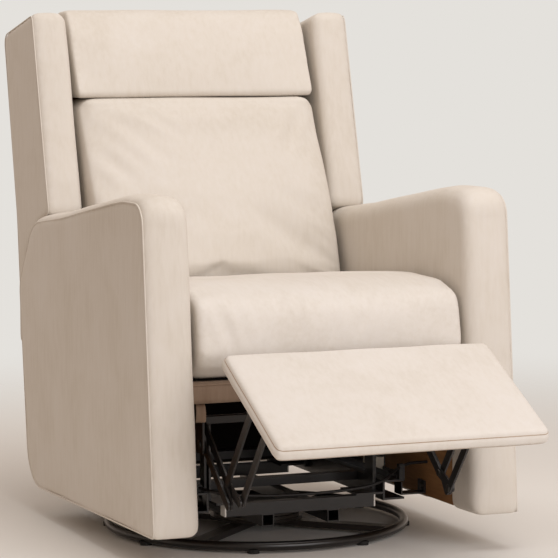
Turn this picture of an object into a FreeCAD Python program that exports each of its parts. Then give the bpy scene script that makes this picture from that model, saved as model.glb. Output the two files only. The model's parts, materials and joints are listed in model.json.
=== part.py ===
import FreeCAD, Part
import math
import os
from FreeCAD import Vector

# Swivel glider recliner, in millimetres. +Z is up and the chair faces -Y.
# The origin is on the floor, on the swivel axis. Side outlines hold (y, z, corner radius).

# Widths of the upholstered pieces
chair_width = 760.0
arm_thickness = 97.0
wing_inset = 20.0
wing_thickness = 79.0
seat_cushion_gap = 9.0
back_cushion_gap = 11.0
footrest_gap = 13.0
rail_gap = 3.0
fit_gap = 0.3
weld_gap = 0.05
running_gap = 0.05

# Arm, seen from the side
arm_front_bottom = (-443.0, 71.0)
arm_front_top = (-386.0, 697.0)
arm_front_radius = 45.0
arm_top_line = [(-277.0, 697.0), (-205.0, 688.0), (-36.0, 663.0), (117.0, 640.0)]
arm_rear_shoulder = (322.0, 617.0)
arm_rear_elbow = (416.0, 480.0)
arm_rear_low = (362.0, 56.0)
arm_shoulder_radius = 105.0
arm_foot_radius = 92.0
arm_inner_fillet = 20.0
arm_outer_fillet = 7.0
arm_panel_recess = 6.0
arm_panel_thickness = 12.0
arm_panel_front = -335.0
arm_panel_rear = 230.0
arm_panel_bottom = 76.0
arm_panel_top = 330.0

# Floor ring, spokes and swivel bearing
ring_radius = 304.0
ring_tube_radius = 9.5
pad_lift = 4.0
pad_radius = 12.0
pad_height = 8.0
pad_count = 8
spoke_count = 4
spoke_width = 30.0
spoke_height = 12.0
spoke_start = 26.0
hub_radius = 95.0
plate_steel = 5.0
race_inner = 62.0
race_outer = 88.0
race_height = 6.0
ball_radius = 4.0
ball_count = 24
ball_gap = 0.1
race_split = 2.0
pivot_radius = 6.0
pivot_head_radius = 10.0
pivot_head_height = 7.0
nut_height = 9.0

# Swivel frame
swivel_plate_radius = 100.0
frame_rail_x = 70.0
frame_rail_width = 25.0
tube_size = 24.0
tube_wall = 2.0
tube_y = 230.0
tube_z = 80.0
tube_half_length = 158.0
cap_flange = 3.0
cap_plug = 10.0

# Glide brackets and hanging links
glide_pivot_y = 180.0
glide_low_z = 95.0
glide_link_length = 150.0
glide_link_width = 24.0
glide_link_thickness = 5.0
glide_pin_radius = 6.0
bracket_steel = 4.0
bracket_width = 40.0
bracket_foot_start = 120.0
bracket_crown = 14.0
side_clearance = 2.0
pin_head_radius = 10.0
pin_head = 4.0

# Carriage
rail_depth = 47.0
rail_height = 40.0
rail_steel = 4.0
rail_front = -222.0
rail_rear = 300.0
cross_bar_size = 17.0
cross_bar_fronts = (-95.0, 262.0)
cross_bar_width = 25.0
plate_to_arm = 45.0
side_plate = 4.0
side_plate_strip = 45.0
side_plate_flange = 3.0
side_plate_rear = 250.0
leg_fronts = (-120.0, 150.0)
leg_width = 60.0
arm_bracket_ys = (-190.0, 20.0, 195.0)
arm_bracket_z = 80.0
arm_bracket_length = 34.0
arm_bracket_height = 26.0
bracket_sheet = 3.0
bolt_radius = 4.0
bolt_head_radius = 7.0
bolt_head = 3.0
kick_top = 250.0
kick_bottom = 75.0
kick_front = 335.0
kick_thickness = 22.0

# Seat tracks, runners and seat frame
track_width = 22.0
track_wall = 2.0
track_base = 3.0
track_height = 12.0
track_front = -190.0
track_rear = 245.0
runner_rise = 18.0
seat_board_bottom = 311.0
seat_board_height = 38.0
seat_board = 22.0
seat_board_front = -345.0
seat_board_rear = 290.0
seat_rear_board_y = 200.0
front_rail_thickness = 25.0
front_rail_top = 355.0
front_rail_fillet = 8.0
spring_xs = (-180.0, -90.0, 0.0, 90.0, 180.0)
spring_wire = 1.9
spring_bend = 13.0
spring_straight = 16.0
clip_size = 16.0
clip_height = 8.0

# Seat cushion, seen from the side
seat_cushion_outline = [
    (-350.0, 357.3, 8.0), (-398.0, 385.0, 10.0), (-416.0, 408.0, 18.0), (-393.0, 508.0, 40.0),
    (-320.0, 529.0, 80.0), (-200.0, 532.0, 200.0), (40.0, 510.0, 120.0), (151.0, 498.0, 22.0),
    (151.0, 357.3, 18.0)]
seat_cushion_fillet = 14.0

# Back, seen from the side. The rear line runs down the back of the wings.
back_pivot = (260.0, 360.0)
back_pin_radius = 6.0
rear_top = (581.0, 1008.0)
rear_middle = (497.0, 621.0)
rear_low = (480.0, 464.0)
rear_panel_bottom = 372.0
rear_panel_thickness = 18.0
wing_top_front = (370.0, 1052.0)
wing_nose = (263.0, 637.0)
wing_cut = [(335.0, 612.0, 30.0), (395.0, 574.0, 60.0), (434.0, 522.0, 60.0), (446.0, 462.0, 40.0)]
wing_bottom = 345.0
wing_bottom_front = 443.0
wing_fillet = 14.0
frame_offset = 100.0
post_depth = 35.0
post_bottom = 405.0
post_top = 985.0
back_bracket = 4.0
back_bracket_width = 34.0
hinge_plate_rise = 18.0
hinge_plate_front = 228.0
cushion_offset = 104.5
head_seam_z = 874.0
seam_gap = 0.6
back_front = [(168.0, 445.0, 20.0), (158.0, 492.0, 60.0), (181.0, 585.0, 90.0), (216.0, 668.0, 160.0),
              (289.0, 795.0, 160.0)]
back_seam_front = 325.0
head_front = [(352.0, 930.0, 90.0), (390.0, 1022.0, 90.0), (425.0, 1066.0, 28.0), (500.0, 1054.0, 90.0)]
back_cushion_bottom = 445.0
back_fillet = 34.0
head_rear_inset = 6.0
head_rear_rise = 14.0

# Footrest: the board's rear top edge, its slope and its size
footrest_edge = (-520.0, 425.0)
footrest_slope = 26.9
footrest_length = 305.0
footrest_thickness = 33.0
footrest_board_thickness = 12.0
footrest_board_inset = 14.0
footrest_fillet = 11.0

# Footrest linkage pivots at rest, (y, z)
drive_pivot = (-277.1, 268.1)
control_pivot = (-309.0, 225.9)
knee = (-419.2, 158.9)
nose = (-474.4, 137.5)
tail = (-441.0, 126.9)
lift_end = (-564.1, 335.5)
guide_end = (-619.4, 313.8)
link_thickness = 4.0
link_gap = 1.5
link_radius = 9.0
link_pin_radius = 4.0
open_pivot_gap = 0.9
rivet_head_radius = 7.0
rivet_head = 2.5
torque_tube_size = 16.0
journal_radius = 6.0
foot_bracket_start = 70.0
foot_bracket_end = 205.0
foot_bracket_flange = 22.0

# Footrest release: a pull tab in its frame on the right arm, and the cable under the seat
pull_y = -120.0
pull_z = 395.0
bezel_depth = 6.0
bezel_wall = 10.0
pull_thickness = 5.0
pull_width = 34.0
pull_height = 38.0
pull_travel = 20.0
pull_fillet = 2.0
cable_radius = 3.0
# Points of the cable: x as a share of the arm's inner face, then y and z
cable_route = [(1.041, -212.5, 145.5), (0.883, -212.5, 145.5), (0.784, -222.0, 140.0),
               (0.707, -240.0, 132.0), (0.615, -257.0, 122.0), (0.490, -264.0, 113.0),
               (0.275, -265.0, 108.0), (0.000, -264.0, 106.0), (-0.275, -265.0, 108.0),
               (-0.490, -263.0, 113.0), (-0.610, -256.0, 118.0), (-0.690, -236.0, 122.0),
               (-0.716, -205.0, 124.0)]
cable_clip_share = 0.804
cable_clip_y = -219.5
cable_clip_z = 141.0
clip_wall = 2.0
clip_block = 12.0

# Corner radii of the side outlines
arm_toe_radius = 8.0
arm_top_radius = 120.0
arm_elbow_radius = 60.0
plate_corner_radius = 9.0
plate_shoulder_radius = 12.0
wing_top_radius = 10.0
wing_nose_radius = 14.0
wing_toe_radius = 25.0
wing_heel_radius = 40.0
rear_low_radius = 200.0
rear_middle_radius = 300.0
rear_top_radius = 24.0
seam_radius = 12.0
head_fit_radius = 4.0
head_side_fillet = 3.0
footrest_rear_radius = 14.0
footrest_front_radius = 12.0
footrest_under_radius = 8.0

# Places worked out from the sizes above
arm_outer_x = chair_width / 2
arm_inner_x = arm_outer_x - arm_thickness
wing_outer_x = arm_outer_x - wing_inset
wing_inner_x = wing_outer_x - wing_thickness
plate_outer_x = arm_inner_x - plate_to_arm
plate_inner_x = plate_outer_x - side_plate
rail_web_x = plate_inner_x - rail_depth
glide_link_outer_x = rail_web_x - side_clearance
glide_link_inner_x = glide_link_outer_x - glide_link_thickness
bracket_outer_x = glide_link_inner_x - side_clearance
bracket_inner_x = bracket_outer_x - bracket_steel
glide_high_z = glide_low_z + glide_link_length
ring_z = pad_lift + ring_tube_radius
spoke_top = ring_z + spoke_height / 2
hub_top = spoke_top + plate_steel
race_low_top = hub_top + race_height
ball_z = race_low_top + race_split / 2
race_high_bottom = race_low_top + race_split
race_high_top = race_high_bottom + race_height
swivel_top = race_high_top + plate_steel
tube_bottom = tube_z - tube_size / 2
tube_top = tube_z + tube_size / 2
rail_bottom = glide_low_z - rail_height / 2
rail_top = rail_bottom + rail_height
track_x = plate_inner_x - track_width / 2 - weld_gap
seat_board_inner_x = (plate_inner_x + plate_outer_x - seat_board) / 2
seat_board_top = seat_board_bottom + seat_board_height
hinge_plate_inner_x = seat_board_inner_x - bracket_steel
back_bracket_outer_x = hinge_plate_inner_x - fit_gap
spring_z = seat_board_top + spring_wire + fit_gap
slope = math.radians(footrest_slope)
cable_points = [(share * arm_inner_x, y, z) for share, y, z in cable_route]
cable_clip_at = (cable_clip_share * arm_inner_x, cable_clip_y, cable_clip_z)


def box(x0, x1, y0, y1, z0, z1):
    return Part.makeBox(x1 - x0, y1 - y0, z1 - z0, Vector(x0, y0, z0))


def rod_x(centre, radius, x0, x1):
    return Part.makeCylinder(radius, x1 - x0, Vector(x0, centre[0], centre[1]), Vector(1, 0, 0))


def rod_z(x, y, radius, z0, z1):
    return Part.makeCylinder(radius, z1 - z0, Vector(x, y, z0))


def slab(points, x0, x1):
    # a side outline with round corners, pushed along X
    corners = [Vector(x0, p[0], p[1]) for p in points]
    edges = []
    last = None
    first = None
    for i, here in enumerate(corners):
        back = corners[i - 1] - here
        ahead = corners[(i + 1) % len(corners)] - here
        radius = points[i][2] if len(points[i]) > 2 else 0.0
        start = here
        end = here
        arc = None
        if radius > 0:
            half = back.getAngle(ahead) / 2
            reach = min(radius / math.tan(half), 0.48 * back.Length, 0.48 * ahead.Length)
            real = reach * math.tan(half)
            back.normalize()
            ahead.normalize()
            middle = (back + ahead).normalize()
            start = here + back * reach
            end = here + ahead * reach
            arc = Part.Arc(start, here + middle * (real / math.sin(half) - real), end).toShape()
        if last is None:
            first = start
        else:
            edges.append(Part.LineSegment(last, start).toShape())
        if arc:
            edges.append(arc)
        last = end
    edges.append(Part.LineSegment(last, first).toShape())
    face = Part.Face(Part.Wire(edges))
    return face.extrude(Vector(x1 - x0, 0, 0))


def strip(points, radius, x0, x1):
    # a flat link: round eyes at the points, joined by straight bars
    shape = rod_x(points[0], radius, x0, x1)
    for a, b in zip(points, points[1:]):
        run = Vector(0, b[0] - a[0], b[1] - a[1])
        across = Vector(0, -run.z, run.y).normalize() * radius
        start = Vector(x0, a[0], a[1])
        ring = [start + across, start + run + across, start + run - across, start - across]
        bar = Part.Face(Part.makePolygon(ring + ring[:1])).extrude(Vector(x1 - x0, 0, 0))
        shape = shape.fuse([bar, rod_x(b, radius, x0, x1)])
    return shape.removeSplitter()


def soften(solid, x, radius):
    # rounds the edges of the side face that lies at x
    edges = [e for e in solid.Edges if abs(e.BoundBox.XMin - x) < 0.01 and abs(e.BoundBox.XMax - x) < 0.01]
    return solid.makeFillet(radius, edges)


def mirrored(shape):
    return shape.mirror(Vector(0, 0, 0), Vector(1, 0, 0))


def both_sides(shapes):
    return [s for shape in shapes for s in (shape, mirrored(shape))]


def tube_along(points, radius):
    # straight runs joined by tangent arcs as large as the runs allow
    corners = [Vector(*p) for p in points]
    edges = []
    last = corners[0]
    for before, here, after in zip(corners, corners[1:], corners[2:]):
        back = before - here
        ahead = after - here
        turn = math.pi - back.getAngle(ahead)
        reach = 0.45 * min(back.Length, ahead.Length)
        bend = reach / math.tan(turn / 2)
        back.normalize()
        ahead.normalize()
        middle = (back + ahead).normalize()
        start = here + back * reach
        end = here + ahead * reach
        edges.append(Part.LineSegment(last, start).toShape())
        arc = Part.Arc(start, here + middle * (bend / math.cos(turn / 2) - bend), end)
        edges.append(arc.toShape())
        print("cable arc radius %.0f" % bend)
        last = end
    edges.append(Part.LineSegment(last, corners[-1]).toShape())
    path = Part.Wire(edges)
    ring = Part.Wire([Part.makeCircle(radius, corners[0], corners[1] - corners[0])])
    tube = path.makePipeShell([ring], True, False)
    print("cable volume over section times length %.4f" % (tube.Volume / (math.pi * radius ** 2 * path.Length)))
    return tube


def turned_copies(shape, count, first_angle=0.0):
    copies = []
    for i in range(count):
        copy = shape.copy()
        copy.rotate(Vector(0, 0, 0), Vector(0, 0, 1), first_angle + 360.0 * i / count)
        copies.append(copy)
    return copies


def write(node, shapes):
    solids = [s for shape in shapes for s in shape.Solids]
    for solid in solids:
        if not solid.isValid() or solid.Volume <= 0:
            print("check", node, "solid is not sound")
    shape = solids[0] if len(solids) == 1 else Part.makeCompound(solids)
    shape.exportStep(os.path.join("parts", node + ".step"))


def rear_y(z, offset=0.0):
    # the back's rear line at a height, moved forward by the offset
    top = rear_top if z >= rear_middle[1] else rear_middle
    low = rear_middle if z >= rear_middle[1] else rear_low
    share = (z - low[1]) / (top[1] - low[1])
    return low[0] + share * (top[0] - low[0]) - offset


def frame_y(z, offset):
    # the straight upper part of the rear line, run on down, moved forward by the offset
    share = (z - rear_middle[1]) / (rear_top[1] - rear_middle[1])
    return rear_middle[0] + share * (rear_top[0] - rear_middle[0]) - offset


def on_board(along, up):
    # a point in the footrest's own frame: along the board to the front, up out of its top face
    y = footrest_edge[0] - along * math.cos(slope) - up * math.sin(slope)
    z = footrest_edge[1] - along * math.sin(slope) + up * math.cos(slope)
    return (y, z)


def layer(number):
    # inner and outer x of a layer of links, counted inwards from the side plate
    outer = plate_inner_x - link_gap - (number - 1) * (link_thickness + link_gap)
    return outer - link_thickness, outer


def make_floor_base():
    ring = Part.makeTorus(ring_radius, ring_tube_radius, Vector(0, 0, ring_z))
    write("base_ring", [ring])

    pad = rod_z(ring_radius, 0, pad_radius, 0, pad_height)
    seat = Part.makeTorus(ring_radius, ring_tube_radius + weld_gap, Vector(0, 0, ring_z))
    write("floor_glide_pads", turned_copies(pad.cut(seat), pad_count, 180.0 / pad_count))

    spoke = box(spoke_start, ring_radius, -spoke_width / 2, spoke_width / 2, spoke_top - spoke_height, spoke_top)
    spoke = spoke.cut(seat)
    write("base_spokes", turned_copies(spoke, spoke_count, 180.0 / spoke_count))

    hub = rod_z(0, 0, hub_radius, spoke_top, hub_top)
    write("base_hub_plate", [hub.cut(rod_z(0, 0, pivot_radius + weld_gap, spoke_top, hub_top))])


def make_bearing():
    ball_ring = (race_inner + race_outer) / 2
    groove = Part.makeTorus(ball_ring, ball_radius + ball_gap, Vector(0, 0, ball_z))
    low = rod_z(0, 0, race_outer, hub_top, race_low_top).cut(rod_z(0, 0, race_inner, hub_top, race_low_top))
    write("lower_bearing_race", [low.cut(groove)])
    high = rod_z(0, 0, race_outer, race_high_bottom, race_high_top)
    high = high.cut(rod_z(0, 0, race_inner, race_high_bottom, race_high_top))
    write("upper_bearing_race", [high.cut(groove)])
    ball = Part.makeSphere(ball_radius, Vector(ball_ring, 0, ball_z))
    write("bearing_balls", turned_copies(ball, ball_count))

    nut_bottom = swivel_top + fit_gap
    head = Part.makeCylinder(pivot_head_radius, pivot_head_height, Vector(0, 0, spoke_top - pivot_head_height))
    shank = rod_z(0, 0, pivot_radius, spoke_top - pivot_head_height, nut_bottom + nut_height + fit_gap)
    write("swivel_pivot_bolt", [head.fuse(shank)])
    flats = Part.makePolygon([Vector(pivot_head_radius * math.cos(math.radians(a)),
                                     pivot_head_radius * math.sin(math.radians(a)), nut_bottom)
                              for a in range(0, 361, 60)])
    nut = Part.Face(flats).extrude(Vector(0, 0, nut_height))
    bore = rod_z(0, 0, pivot_radius + weld_gap, nut_bottom, nut_bottom + nut_height)
    write("swivel_lock_nut", [nut.cut(bore)])


def square_tube(x0, x1, y, z):
    half = tube_size / 2
    inner = half - tube_wall
    outside = box(x0, x1, y - half, y + half, z - half, z + half)
    return outside.cut(box(x0, x1, y - inner, y + inner, z - inner, z + inner))


def make_swivel_frame():
    plate = rod_z(0, 0, swivel_plate_radius, race_high_top, swivel_top)
    bore = rod_z(0, 0, pivot_radius + running_gap, race_high_top, swivel_top)
    write("swivel_plate", [plate.cut(bore)])

    rail_end = tube_y + tube_size / 2
    rail = box(frame_rail_x - frame_rail_width / 2, frame_rail_x + frame_rail_width / 2,
               -rail_end, rail_end, swivel_top, tube_bottom)
    hollow = box(frame_rail_x - frame_rail_width / 2 + tube_wall, frame_rail_x + frame_rail_width / 2 - tube_wall,
                 -rail_end, rail_end, swivel_top + tube_wall, tube_bottom - tube_wall)
    write("swivel_rails", both_sides([rail.cut(hollow)]))

    write("cross_tubes", [square_tube(-tube_half_length, tube_half_length, y, tube_z) for y in (-tube_y, tube_y)])
    half = tube_size / 2
    plug_half = half - tube_wall - weld_gap
    caps = []
    for y in (-tube_y, tube_y):
        flange = box(tube_half_length, tube_half_length + cap_flange, y - half, y + half, tube_bottom, tube_top)
        plug = box(tube_half_length - cap_plug, tube_half_length, y - plug_half, y + plug_half,
                   tube_z - plug_half, tube_z + plug_half)
        caps.append(flange.fuse(plug))
    write("tube_end_caps", both_sides(caps))

    brackets = []
    pins = []
    for side in (-1, 1):
        pivot = (side * glide_pivot_y, glide_high_z)
        inner_y = side * (glide_pivot_y - bracket_width / 2)
        outer_y = side * (tube_y + tube_size / 2)
        post_y = side * (glide_pivot_y + bracket_width / 2)
        foot = box(bracket_foot_start, bracket_outer_x, min(inner_y, outer_y), max(inner_y, outer_y),
                   tube_top, tube_top + bracket_steel)
        wall = box(bracket_inner_x, bracket_outer_x, min(inner_y, post_y), max(inner_y, post_y),
                   tube_top, glide_high_z)
        crown = rod_x(pivot, bracket_width / 2, bracket_inner_x, bracket_outer_x)
        crown = crown.common(box(0, arm_inner_x, -arm_inner_x, arm_inner_x, 0, glide_high_z + bracket_crown))
        hole = rod_x(pivot, glide_pin_radius + weld_gap, 0, arm_inner_x)
        brackets.append(foot.fuse([wall, crown]).removeSplitter().cut(hole))
        head = rod_x(pivot, pin_head_radius, bracket_inner_x - pin_head, bracket_inner_x)
        pins.append(head.fuse(rod_x(pivot, glide_pin_radius, bracket_inner_x, glide_link_outer_x)))
    write("glide_brackets", both_sides(brackets))
    write("upper_glide_pins", both_sides(pins))


def make_glide_links():
    for name, y in (("front", -glide_pivot_y), ("rear", glide_pivot_y)):
        ends = [(y, glide_low_z), (y, glide_high_z)]
        link = strip(ends, glide_link_width / 2, glide_link_inner_x, glide_link_outer_x)
        for end in ends:
            link = link.cut(rod_x(end, glide_pin_radius + running_gap, 0, arm_inner_x))
        write(name + "_glide_links", both_sides([link]))


def make_carriage_frame():
    web = box(rail_web_x, rail_web_x + rail_steel, rail_front, rail_rear, rail_bottom, rail_top)
    low = box(rail_web_x, plate_inner_x, rail_front, rail_rear, rail_bottom, rail_bottom + rail_steel)
    high = box(rail_web_x, plate_inner_x, rail_front, rail_rear, rail_top - rail_steel, rail_top)
    rail = web.fuse([low, high])
    pins = []
    for y in (-glide_pivot_y, glide_pivot_y):
        pivot = (y, glide_low_z)
        rail = rail.cut(rod_x(pivot, glide_pin_radius + weld_gap, rail_web_x, rail_web_x + rail_steel))
        shank = rod_x(pivot, glide_pin_radius, glide_link_inner_x, rail_web_x + rail_steel)
        head = rod_x(pivot, pin_head_radius, rail_web_x + rail_steel, rail_web_x + rail_steel + pin_head)
        pins.append(shank.fuse(head))
    write("carriage_rails", both_sides([rail.removeSplitter()]))
    write("lower_glide_pins", both_sides(pins))
    bars = [box(-rail_web_x, rail_web_x, y, y + cross_bar_width, rail_top - cross_bar_size, rail_top)
            for y in cross_bar_fronts]
    hollows = [box(-rail_web_x, rail_web_x, y + tube_wall, y + cross_bar_width - tube_wall,
                   rail_top - cross_bar_size + tube_wall, rail_top - tube_wall) for y in cross_bar_fronts]
    write("carriage_cross_bars", [bar.cut(hollow) for bar, hollow in zip(bars, hollows)])

    half = track_width / 2
    base = box(track_x - half, track_x + half, track_front, track_rear, rail_top, rail_top + track_height)
    channel = box(track_x - half + track_wall, track_x + half - track_wall, track_front, track_rear,
                  rail_top + track_base, rail_top + track_height)
    write("seat_tracks", both_sides([base.cut(channel)]))


def make_side_plates():
    top = seat_board_bottom
    low = top - side_plate_strip
    leg_bottom = rail_top + track_height + fit_gap
    front = control_pivot[0] - 2 * link_radius
    foot = control_pivot[1] - 2 * link_radius
    corner = plate_corner_radius
    outline = [(front, foot, corner), (front, low + link_radius, corner),
               (front + side_plate_strip, top, plate_shoulder_radius), (side_plate_rear, top), (side_plate_rear, low)]
    for y in reversed(leg_fronts):
        outline += [(y + leg_width, low), (y + leg_width, leg_bottom), (y, leg_bottom), (y, low)]
    outline += [(drive_pivot[0] + 4 * link_radius, low, corner), (control_pivot[0] + 2 * link_radius, foot, corner)]
    plate = slab(outline, plate_inner_x, plate_outer_x)
    flange = box(seat_board_inner_x, plate_outer_x, front + 2 * side_plate_strip, side_plate_rear,
                 top - side_plate_flange, top)
    plate = plate.fuse(flange).removeSplitter()
    plate = plate.cut(rod_x(drive_pivot, journal_radius + running_gap, 0, arm_inner_x))
    plate = plate.cut(rod_x(control_pivot, link_pin_radius + weld_gap, 0, arm_inner_x))
    write("right_mechanism_plate", [plate])
    write("left_mechanism_plate", [mirrored(plate)])

    inner, outer = layer(1)
    pin = rod_x(control_pivot, link_pin_radius, inner, plate_outer_x)
    head = rod_x(control_pivot, rivet_head_radius, plate_outer_x, plate_outer_x + rivet_head)
    write("control_link_pins", both_sides([pin.fuse(head)]))

    runner_half = track_width / 2 - track_wall - fit_gap
    runners = []
    for y in leg_fronts:
        slider = box(track_x - runner_half, track_x + runner_half, y, y + leg_width,
                     rail_top + track_base + fit_gap, leg_bottom)
        cheek = box(track_x - runner_half, plate_inner_x, y, y + leg_width, leg_bottom, leg_bottom + runner_rise)
        runners.append(slider.fuse(cheek).removeSplitter())
    write("seat_runners", both_sides(runners))


def make_arms():
    outline = [arm_front_bottom + (arm_toe_radius,), arm_front_top + (arm_front_radius,)]
    outline += [p + (arm_top_radius,) for p in arm_top_line]
    outline += [arm_rear_shoulder + (arm_shoulder_radius,), arm_rear_elbow + (arm_elbow_radius,),
                arm_rear_low + (arm_foot_radius,)]
    arm = slab(outline, arm_inner_x, arm_outer_x)
    arm = soften(arm, arm_inner_x, arm_inner_fillet)
    arm = soften(arm, arm_outer_x, arm_outer_fillet)
    panel_x = arm_inner_x + arm_panel_recess
    pocket = box(arm_inner_x - fit_gap, panel_x + arm_panel_thickness + fit_gap, arm_panel_front - fit_gap,
                 arm_panel_rear + fit_gap, 0, arm_panel_top + fit_gap)
    arm = arm.cut(pocket)
    write("right_arm", [arm])
    write("left_arm", [mirrored(arm)])

    panel = box(panel_x, panel_x + arm_panel_thickness, arm_panel_front, arm_panel_rear,
                arm_panel_bottom, arm_panel_top)
    brackets = []
    bolts = []
    holes = []
    for y in arm_bracket_ys:
        y0 = y - arm_bracket_length / 2
        y1 = y + arm_bracket_length / 2
        z1 = arm_bracket_z + arm_bracket_height
        web = box(plate_inner_x, panel_x, y0, y1, arm_bracket_z, arm_bracket_z + bracket_sheet)
        inner = box(plate_inner_x, plate_inner_x + bracket_sheet, y0, y1, arm_bracket_z, z1)
        outer = box(panel_x - bracket_sheet, panel_x, y0, y1, arm_bracket_z, z1)
        brackets.append(web.fuse([inner, outer]).removeSplitter())
        centre = (y, (arm_bracket_z + bracket_sheet + z1) / 2)
        holes.append(rod_x(centre, bolt_radius + weld_gap, panel_x - bracket_sheet, arm_outer_x))
        head = rod_x(centre, bolt_head_radius, panel_x - bracket_sheet - bolt_head, panel_x - bracket_sheet)
        bolts.append(head.fuse(rod_x(centre, bolt_radius, panel_x - bracket_sheet, panel_x + arm_panel_thickness)))
    write("arm_brackets", both_sides([b.cut(hole) for b, hole in zip(brackets, holes)]))
    write("arm_bolts", both_sides(bolts))
    gland = rod_x(cable_points[0][1:], cable_radius + weld_gap, arm_inner_x, arm_outer_x)
    panel = panel.cut(holes)
    write("arm_panels", [panel.cut(gland), mirrored(panel)])

    kick_x = arm_inner_x - fit_gap
    kick = box(-kick_x, kick_x, kick_front, kick_front + kick_thickness, kick_bottom, kick_top)
    write("rear_kick_panel", [kick.makeFillet(front_rail_fillet, [e for e in kick.Edges if e.Length > kick_x])])


def make_release():
    side = pull_width / 2 + fit_gap
    low = pull_z - fit_gap
    high = pull_z + pull_height + pull_travel + fit_gap
    bezel = box(arm_inner_x - bezel_depth, arm_inner_x, pull_y - side - bezel_wall, pull_y + side + bezel_wall,
                low - bezel_wall, high + bezel_wall)
    window = box(arm_inner_x - bezel_depth, arm_inner_x, pull_y - side, pull_y + side, low, high)
    write("release_pull_frame", [bezel.cut(window)])
    tab = box(arm_inner_x - bezel_depth - pull_thickness / 2, arm_inner_x - fit_gap, pull_y - pull_width / 2,
              pull_y + pull_width / 2, pull_z, pull_z + pull_height)
    write("release_pull_tab", [tab.makeFillet(pull_fillet, tab.Edges)])

    cable = tube_along(cable_points, cable_radius)
    write("release_cable", [cable])
    clips = []
    for x, y, z in (cable_clip_at, cable_points[-1]):
        top = z + cable_radius + clip_wall
        block = box(x - clip_block / 2, x + clip_block / 2, y - clip_block / 2, y + clip_block / 2, rail_top, top)
        clips.append(block.cut(cable))
    write("cable_clips", clips)


def sinuous_wire(x, start, end, z):
    # a flat zigzag of straight legs and half-round bends from start to end along Y
    legs = int((end - start) / (2 * spring_bend))
    pitch = (end - start) / legs
    bend = pitch / 2
    edges = []
    here = Vector(x - spring_straight / 2, start, z)
    for i in range(legs + 1):
        way = 1 if i % 2 == 0 else -1
        there = here + Vector(way * spring_straight, 0, 0)
        edges.append(Part.LineSegment(here, there).toShape())
        if i < legs:
            far = there + Vector(0, pitch, 0)
            edges.append(Part.Arc(there, there + Vector(way * bend, bend, 0), far).toShape())
            here = far
    path = Part.Wire(edges)
    first = edges[0].Vertexes[0].Point
    ring = Part.Wire([Part.makeCircle(spring_wire, first, Vector(1, 0, 0))])
    return path.makePipeShell([ring], True, False)


def make_seat():
    front_rear = seat_board_front + seat_board
    boards = both_sides([box(seat_board_inner_x, seat_board_inner_x + seat_board, seat_board_front, seat_board_rear,
                             seat_board_bottom, seat_board_top)])
    boards.append(box(-seat_board_inner_x, seat_board_inner_x, seat_board_front, front_rear, seat_board_bottom,
                      seat_board_top))
    boards.append(box(-seat_board_inner_x, seat_board_inner_x, seat_rear_board_y, seat_rear_board_y + seat_board,
                      seat_board_bottom, seat_board_top))
    write("seat_frame_boards", boards)

    half = arm_inner_x - rail_gap
    rail = box(-half, half, seat_board_front - front_rail_thickness, seat_board_front, seat_board_bottom,
               front_rail_top)
    edges = [e for e in rail.Edges if e.Length > half and e.BoundBox.YMax < seat_board_front - 1]
    write("seat_front_rail", [rail.makeFillet(front_rail_fillet, edges)])

    start = front_rear - clip_size / 2
    end = seat_rear_board_y + clip_size / 2
    wires = [sinuous_wire(x, start, end, spring_z) for x in spring_xs]
    write("seat_springs", wires)
    clips = []
    for wire, x in zip(wires, spring_xs):
        for y in (start, end):
            clip = box(x - clip_size / 4, x + clip_size / 4, y - clip_size / 2, y + clip_size / 2,
                       seat_board_top, seat_board_top + clip_height)
            groove = rod_x((y, spring_z), spring_wire + weld_gap, x - clip_size, x + clip_size)
            clips.append(clip.cut(groove))
    write("spring_clips", clips)

    half = arm_inner_x - seat_cushion_gap
    cushion = slab(seat_cushion_outline, -half, half)
    cushion = soften(soften(cushion, -half, seat_cushion_fillet), half, seat_cushion_fillet)
    write("seat_cushion", [cushion])


def make_back_hinges():
    y0 = hinge_plate_front
    y1 = 2 * back_pivot[0] - hinge_plate_front
    plate = box(hinge_plate_inner_x, seat_board_inner_x, y0, y1, seat_board_bottom, back_pivot[1] + hinge_plate_rise)
    inner = back_bracket_outer_x - back_bracket
    stud = rod_x(back_pivot, back_pin_radius, inner, seat_board_inner_x)
    write("back_hinge_plates", both_sides([plate.fuse(stud).removeSplitter()]))

    half = back_bracket_width / 2
    low_z = post_bottom + half
    high_z = post_bottom + 4 * half
    middle = frame_offset - post_depth / 2
    arm = strip([back_pivot, (frame_y(low_z, middle), low_z), (frame_y(high_z, middle), high_z)], half,
                inner, back_bracket_outer_x)
    arm = arm.cut(rod_x(back_pivot, back_pin_radius + running_gap, 0, arm_inner_x))
    write("back_brackets", both_sides([arm]))


def make_back_frame():
    front = frame_offset
    rear = frame_offset - post_depth
    post = slab([(frame_y(post_bottom, front), post_bottom), (frame_y(post_top, front), post_top),
                 (frame_y(post_top, rear), post_top), (frame_y(post_bottom, rear), post_bottom)],
                back_bracket_outer_x, wing_inner_x)
    boards = both_sides([post])
    for low in (post_bottom + back_bracket_width, post_top - seat_board_height):
        high = low + seat_board_height
        outline = [(frame_y(low, front), low), (frame_y(high, front), high), (frame_y(high, rear), high),
                   (frame_y(low, rear), low)]
        boards.append(slab(outline, -back_bracket_outer_x + back_bracket, back_bracket_outer_x - back_bracket))
    write("back_frame_boards", boards)

    low = post_bottom + back_bracket_width + seat_board_height
    high = post_top - seat_board_height
    wires = []
    lean = math.degrees(math.atan2(frame_y(high, 0) - frame_y(low, 0), high - low))
    length = math.hypot(high - low, frame_y(high, 0) - frame_y(low, 0)) + clip_size
    foot = Vector(0, frame_y(low, frame_offset + spring_wire + fit_gap), low)
    for x in spring_xs[1:-1]:
        wire = sinuous_wire(x, -clip_size, length, 0)
        wire.rotate(Vector(0, 0, 0), Vector(1, 0, 0), 90.0 - lean)
        wire.translate(foot)
        wires.append(wire)
    write("back_springs", wires)


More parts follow.
